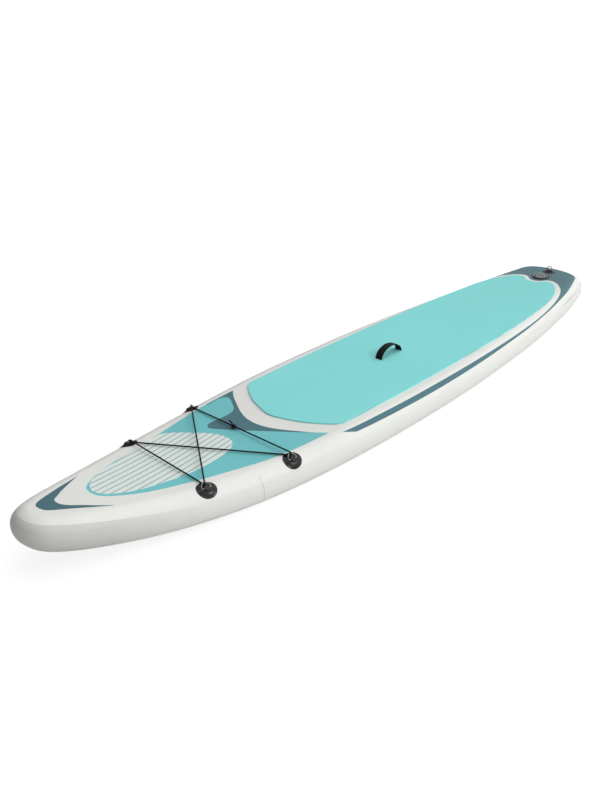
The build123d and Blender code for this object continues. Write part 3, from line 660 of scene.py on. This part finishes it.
def ring_pad(name, station, angle, sign, radius, stands_for):
    """A glossy moulded pad: a thin welded rim, a step, and a dome dished inboard where the ring lies."""
    r = np.array([0.0, 0.2, 0.36, 0.5, 0.62, 0.7, 0.76, 0.80, 0.84, 0.90, 0.955, 0.985, 1.0, 1.0]) * radius
    h = np.array([6.2, 6.1, 5.7, 5.0, 4.2, 3.5, 2.7, 2.0, 1.75, 1.7, 1.6, 1.3, 0.7, 0.1]) / 1000
    a = np.linspace(0, 2 * math.pi, SPOKES, endpoint=False)
    rr, aa = np.meshgrid(r, a, indexing="ij")
    along, across = rr * np.sin(aa), rr * np.cos(aa)
    inboard = np.clip(-across / radius, 0, 1)
    lift = np.repeat(h[:, None], SPOKES, 1)
    dish = np.exp(-((along / (0.52 * radius)) ** 4)) * np.clip(inboard * 2.2 - 0.2, 0, 1)
    lift = np.where(lift > RIM_TOP, RIM_TOP + (lift - RIM_TOP) * (1 - 0.92 * dish), lift)
    t = t_of(station) + along
    w = math.radians(angle) * GIRTH + across
    p, _ = hull(t.ravel(), w.ravel(), lift.ravel())
    p = p * [sign, 1, 1]
    faces = []
    for i in range(len(r) - 1):
        for j in range(SPOKES):
            k = (j + 1) % SPOKES
            f = [i * SPOKES + j, (i + 1) * SPOKES + j, (i + 1) * SPOKES + k, i * SPOKES + k]
            faces.append(f if sign < 0 else f[::-1])
    o = make(name, p, faces, ["pad_black"])
    sub = o.modifiers.new("soft", "SUBSURF")
    sub.levels = sub.render_levels = 1
    return keep(o, "hull", stands_for)


for row, station, angle in (("front", 0.613, 25), ("rear", 0.973, 31)):
    for hand, sign in (("port", 1), ("starboard", -1)):
        tag = row + "_" + hand
        ring_pad("ring_pad_" + tag, station, angle, sign, RING_PAD_RADIUS, ["dring_patch_" + tag])
        dress("dring_holder_" + tag, "holder")
        dress("dring_ring_" + tag, "steel")


def turned(name, profile, origin, axis, mats, steps=72, shape=None, stands_for=()):
    """A turned piece: (radius, height) points swept about an axis; shape changes the radius with the angle."""
    z = Vector(axis).normalized()
    x = Vector((1, 0, 0))
    y = z.cross(x).normalized()
    verts, faces = [], []
    for r, h in profile:
        for j in range(steps):
            a = 2 * math.pi * (j + 0.5) / steps
            k = shape(a, r) if shape else r
            verts.append(Vector(origin) + x * k * math.cos(a) + y * k * math.sin(a) + z * h)
    for i in range(len(profile) - 1):
        for j in range(steps):
            k = (j + 1) % steps
            faces.append([i * steps + j, i * steps + k, (i + 1) * steps + k, (i + 1) * steps + j])
    return keep(make(name, verts, faces, mats), "hull", stands_for)


# Tail ring pad, on the flat deck
tail_p, tail_n = deck(np.array([0.0]), np.array([TAIL_RING_STATION]))
turned("ring_pad_tail",
       [(0.036, 0.0001), (0.036, 0.0008), (0.0354, 0.0014), (0.033, 0.0017), (0.029, 0.0018), (0.0275, 0.0022),
        (0.026, 0.0032), (0.022, 0.0045), (0.017, 0.0052), (0.012, 0.0054)],
       tail_p[0], tail_n[0], ["pad_black"], stands_for=["tail_ring_patch"])
dress("tail_ring_holder", "holder")
dress("tail_ring", "steel")

# ---------------------------------------------------------------- valve
valve_p, valve_n = deck(np.array([0.0]), np.array([VALVE_STATION]))
ROUND_WITHIN = 0.045
# Radius, height and wire of a thin light grey ring: a painted highlight on the edge of the valve's flange
HIGHLIGHT_RING_RADIUS, HIGHLIGHT_RING_HEIGHT, HIGHLIGHT_RING_WIRE = 0.0385, 0.0060, 0.0011


def octagon(a, r):
    """Eight straight sides with softened corners for the outer radii, round inside."""
    if r < ROUND_WITHIN:
        return r
    sector = math.pi / 4
    b = (a % sector) - sector / 2
    flat = math.cos(sector / 2) / math.cos(b)
    return r * min(flat, 0.985)


turned("valve_octagon",
       [(0.053, 0.0003), (0.053, 0.0011), (0.0522, 0.0016), (0.050, 0.0018), (0.0455, 0.0018),
        (0.042, 0.0018), (0.0235, 0.0017)],
       valve_p[0], valve_n[0], ["valve_dark"], steps=160, shape=octagon, stands_for=["valve_patch"])
# Painted highlight: a thin light grey wire ring round the valve stands in for the glint on its flange's edge
highlight_ring = [(HIGHLIGHT_RING_RADIUS + HIGHLIGHT_RING_WIRE * math.cos(a), HIGHLIGHT_RING_HEIGHT + HIGHLIGHT_RING_WIRE * math.sin(a))
           for a in np.linspace(-2.2, 4.1, 14)]
turned("valve_painted_highlight", highlight_ring, valve_p[0], valve_n[0], ["painted_highlight_grey"], steps=96)
for node, look in {
    "valve_gasket": "rubber", "valve_body": "valve_dark", "valve_nut": "valve_dark",
    "valve_stem": "valve_grey", "valve_diaphragm": "rubber", "valve_spring": "steel",
    "valve_cap": "cap_grey", "valve_cap_seal": "rubber", "bottom_skin": "bottom",
    "rail_band_port": "band", "rail_band_starboard": "band", "nose_seam_tape": "tape",
    "tail_seam_tape": "tape", "drop_stitch_threads": "thread", "traction_pad": "foam",
    "handle_anchor_front": "anchor", "handle_anchor_rear": "anchor", "fin_box_patch": "rubber",
    "fin_box": "fin_black",
}.items():
    dress(node, look)

# ---------------------------------------------------------------- carry handle
SPAN, RISE, WIDTH, STRAP = 0.146, 0.050, 0.038, 0.0028
PAD_TOP = 0.0053
HALF_ROW = 15


def strap():
    """The webbing strap: an arch on two feet, with soft, slightly domed edges."""
    low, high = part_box("handle_strap")
    middle = (low.y + high.y) / 2
    foot = low.z
    base = THICKNESS + PAD_TOP
    half, top = SPAN / 2, RISE - STRAP / 2
    line = [(middle - half, z) for z in np.linspace(foot, base, 5)[:-1]]
    line += [(middle - half * math.cos(a), base + top * math.sin(a)) for a in np.linspace(0, math.pi, 61)]
    line += [(middle + half, z) for z in np.linspace(base, foot, 5)[1:]]
    line = np.array(line)
    step = np.r_[0, np.cumsum(np.linalg.norm(np.diff(line, axis=0), axis=1))]
    ahead = np.gradient(line, step, axis=0)
    ahead /= np.linalg.norm(ahead, axis=1)[:, None]
    up = np.stack([-ahead[:, 1], ahead[:, 0]], 1)
    section = []
    for k in range(HALF_ROW):
        v = -1 + 2 * k / (HALF_ROW - 1)
        section.append((v * WIDTH / 2, STRAP / 2 * (1 - 0.55 * abs(v) ** 14) + 0.00035 * math.cos(v * 2.6)))
    section += [(WIDTH / 2 + 0.0004, 0.0)]
    section += [(x, -z) for x, z in section[HALF_ROW - 1::-1]]
    section += [(-WIDTH / 2 - 0.0004, 0.0)]
    count = len(section)
    verts, uv_of = [], []
    for i, (y, z) in enumerate(line):
        for k, (x, lift) in enumerate(section):
            verts.append((x, y + up[i, 0] * lift, z + up[i, 1] * lift))
            uv_of.append((step[i], x))
    faces = []
    for i in range(len(line) - 1):
        for k in range(count):
            n = (k + 1) % count
            faces.append([i * count + k, i * count + n, (i + 1) * count + n, (i + 1) * count + k])
    faces.append([k for k in range(count)][::-1])
    faces.append([(len(line) - 1) * count + k for k in range(count)])
    uvs = [uv_of[v] for f in faces for v in f]
    return make("handle_webbing", verts, faces, ["webbing"], uvs=uvs)


keep(strap(), "hull", ["handle_strap"])

# ---------------------------------------------------------------- bungee lacing
def spline_points(control):
    """Evenly read points of the NURBS line through a cord's route."""
    curve = bpy.data.curves.new("route", "CURVE")
    curve.dimensions = "3D"
    curve.resolution_u = 10
    path = curve.splines.new("NURBS")
    path.points.add(len(control) - 1)
    for p, q in zip(path.points, control):
        p.co = (*q, 1)
    path.order_u = 3
    path.use_endpoint_u = True
    o = bpy.data.objects.new("route", curve)
    bpy.context.scene.collection.objects.link(o)
    bpy.context.view_layer.update()
    mesh = bpy.data.meshes.new_from_object(o.evaluated_get(bpy.context.evaluated_depsgraph_get()))
    line = np.array([v.co[:] for v in mesh.vertices])
    bpy.data.objects.remove(o)
    bpy.data.curves.remove(curve)
    bpy.data.meshes.remove(mesh)
    return line


def tube(name, line, radius, look, sides=14, taper=0.0):
    """A round cord along a line, with UVs in metres and pointed or flat ends."""
    line = np.asarray(line, float)
    step = np.r_[0, np.cumsum(np.linalg.norm(np.diff(line, axis=0), axis=1))]
    ahead = np.gradient(line, axis=0)
    ahead /= np.linalg.norm(ahead, axis=1)[:, None]
    side = Vector((0, 0, 1)).cross(Vector(ahead[0]))
    side = side.normalized() if side.length > 1e-4 else Vector((1, 0, 0))
    verts, uv_of, faces = [], [], []
    for i, p in enumerate(line):
        a = Vector(ahead[i])
        side = (side - a * side.dot(a)).normalized()
        up = a.cross(side)
        for k in range(sides):
            b = 2 * math.pi * k / sides
            verts.append(Vector(p) + (side * math.cos(b) + up * math.sin(b)) * radius)
            uv_of.append((step[i], b * radius))
    for i in range(len(line) - 1):
        for k in range(sides):
            n = (k + 1) % sides
            faces.append([i * sides + k, i * sides + n, (i + 1) * sides + n, (i + 1) * sides + k])
    ends = len(verts)
    verts += [Vector(line[0] - ahead[0] * radius * taper), Vector(line[-1] + ahead[-1] * radius * taper)]
    uv_of += [(0, 0), (step[-1], 0)]
    last = (len(line) - 1) * sides
    for k in range(sides):
        n = (k + 1) % sides
        faces.append([ends, n, k])
        faces.append([ends + 1, last + k, last + n])
    uvs = []
    for f in faces:
        vs = [uv_of[v] for v in f]
        high = max(b for _, b in vs)
        uvs += [(a, b + 2 * math.pi * radius if high - b > math.pi * radius else b) for a, b in vs]
    return make(name, verts, faces, [look], uvs=uvs)


# The lacing's route: the two ends of its turn at each ring, in the order that the cord takes them
CORD = 0.0030
KNOT = Vector((-0.0280, -0.7806, 0.1599))
RINGS = [
    ((-0.2997, -0.7806, 0.1547), (-0.2997, -0.7806, 0.1661)),
    ((0.2291, -1.1441, 0.1817), (0.2291, -1.1441, 0.1703)),
    ((-0.2291, -1.1441, 0.1817), (-0.2291, -1.1441, 0.1703)),
    ((0.2997, -0.7806, 0.1547), (0.2997, -0.7806, 0.1661)),
]
NEAR_RING = 0.030
route = [KNOT]
last = KNOT
for k, (first, second) in enumerate(RINGS):
    a, b = Vector(first), Vector(second)
    after = Vector(RINGS[k + 1][0]) if k < 3 else KNOT
    route += [a + (last - a).normalized() * NEAR_RING, a, b, b + (after - b).normalized() * NEAR_RING]
    last = b
route.append(KNOT)
keep(tube("bungee_lacing", spline_points(route), CORD, "braid"), "hull", ["bungee_cord"])

# The knot: turns hauled tight round the standing part, and two loose ends
across = (Vector(RINGS[3][1]) - Vector(RINGS[0][0])).normalized()
knot_up = Vector((0, 0, 1))
knot_side = knot_up.cross(across).normalized()


def knot_at(along, angle, radius):
    return KNOT + across * along + (knot_side * math.cos(angle) + knot_up * math.sin(angle)) * radius


KNOT_HALF, KNOT_TURNS, KNOT_RADIUS, KNOT_STEPS = 0.0095, 3.25, 0.0050, 40
turns = []
for k in range(KNOT_STEPS + 1):
    along = -KNOT_HALF + 2 * KNOT_HALF * k / KNOT_STEPS
    angle = 2 * math.pi * KNOT_TURNS * k / KNOT_STEPS
    turns.append(knot_at(along, angle, KNOT_RADIUS + 0.0009 * math.sin(k * 1.3)))
loose_a = [
    KNOT + across * -0.034 + Vector((0, 0.006, 0.0135)),
    KNOT + across * -0.022 + Vector((0, 0.005, 0.0105)),
]
loose_b = [
    KNOT + across * 0.010 + Vector((0, -0.0085, 0.0015)),
    KNOT + across * 0.006 + Vector((0, -0.0165, -0.0005)),
]
knot = tube("bungee_knot_tied", spline_points(loose_a + turns + loose_b), CORD * 0.96, "braid", taper=0.6)
keep(knot, "hull", ["bungee_knot"])

# ---------------------------------------------------------------- floor, light and camera
# The camera sees the floor glow pale; every other ray meets a plain light grey floor
FLOOR_GLOW = 0.82
floor_look = Look("floor", (0.9, 0.9, 0.895, 1), 0.9, spec=0.0)
seen = floor_look.add("ShaderNodeLightPath").outputs["Is Camera Ray"]
floor_look.colour(floor_look.mix(seen, (0.75, 0.75, 0.745, 1), (0.28, 0.28, 0.28, 1)))
floor_look.bsdf.inputs["Emission Color"].default_value = (1, 1, 1, 1)
floor_look.put(floor_look.bsdf.inputs["Emission Strength"], floor_look.math("MULTIPLY", seen, FLOOR_GLOW))
bpy.ops.mesh.primitive_plane_add(size=600, location=(0, 0, -0.0005))
floor = bpy.context.object
floor.name = "floor"
floor.data.materials.append(floor_look.mat)

# The studio: soft light all round, strongest from high on the port quarter, weakest low opposite it
SKY_LOW, SKY_HIGH, SKY_FROM = 0.03, 1.65, -0.40
world = bpy.data.worlds.new("studio")
world.use_nodes = True
sky = world.node_tree
direction = sky.nodes.new("ShaderNodeTexCoord").outputs["Generated"]
lean = sky.nodes.new("ShaderNodeVectorMath")
lean.operation = "DOT_PRODUCT"
lean.inputs[1].default_value = (0.66, 0.68, 0.32)
sky.links.new(direction, lean.inputs[0])
level = sky.nodes.new("ShaderNodeMapRange")
for k, v in enumerate((SKY_FROM, 1.0, SKY_LOW, SKY_HIGH)):
    level.inputs[k + 1].default_value = v
sky.links.new(lean.outputs["Value"], level.inputs[0])
sky.links.new(level.outputs[0], sky.nodes["Background"].inputs["Strength"])
sky.nodes["Background"].inputs["Color"].default_value = (1.0, 1.0, 1.0, 1)
bpy.context.scene.world = world


def softbox(name, at, aim, size, power):
    lamp = bpy.data.lights.new(name, "AREA")
    lamp.shape = "RECTANGLE"
    lamp.size, lamp.size_y = size
    lamp.energy = power
    o = bpy.data.objects.new(name, lamp)
    bpy.context.scene.collection.objects.link(o)
    o.location = at
    o.rotation_euler = (Vector(aim) - Vector(at)).to_track_quat("-Z", "Y").to_euler()
    return o


softbox("key", (4.2, 1.2, 3.4), (0, 0, 0), (1.6, 1.6), 38)
softbox("top", (0, 0.2, 4.5), (0, 0.2, 0), (3.0, 5.0), 36)

AZIMUTH, ELEVATION, ROLL = (math.radians(v) for v in (45.466, 27.421, -2.291))
CAMERA_AIM, CAMERA_DISTANCE = Vector((-0.0937, -0.3363, 0.08)), 3.6827
LENS, SENSOR = 37.268, 36
back = Vector((
    math.sin(AZIMUTH) * math.cos(ELEVATION), -math.cos(AZIMUTH) * math.cos(ELEVATION), math.sin(ELEVATION)))
right = Vector((math.cos(AZIMUTH), math.sin(AZIMUTH), 0))
up = back.cross(right)
right_rolled = right * math.cos(ROLL) + up * math.sin(ROLL)
up_rolled = up * math.cos(ROLL) - right * math.sin(ROLL)
camera = bpy.data.cameras.new("camera")
camera.sensor_width = SENSOR
camera.lens = LENS
camera.clip_end = 200
cam = bpy.data.objects.new("camera", camera)
bpy.context.scene.collection.objects.link(cam)
axes = Matrix((right_rolled, up_rolled, back)).transposed().to_4x4()
cam.matrix_world = Matrix.Translation(CAMERA_AIM + back * CAMERA_DISTANCE) @ axes
bpy.context.scene.camera = cam
bpy.context.scene.view_settings.view_transform = "Standard"
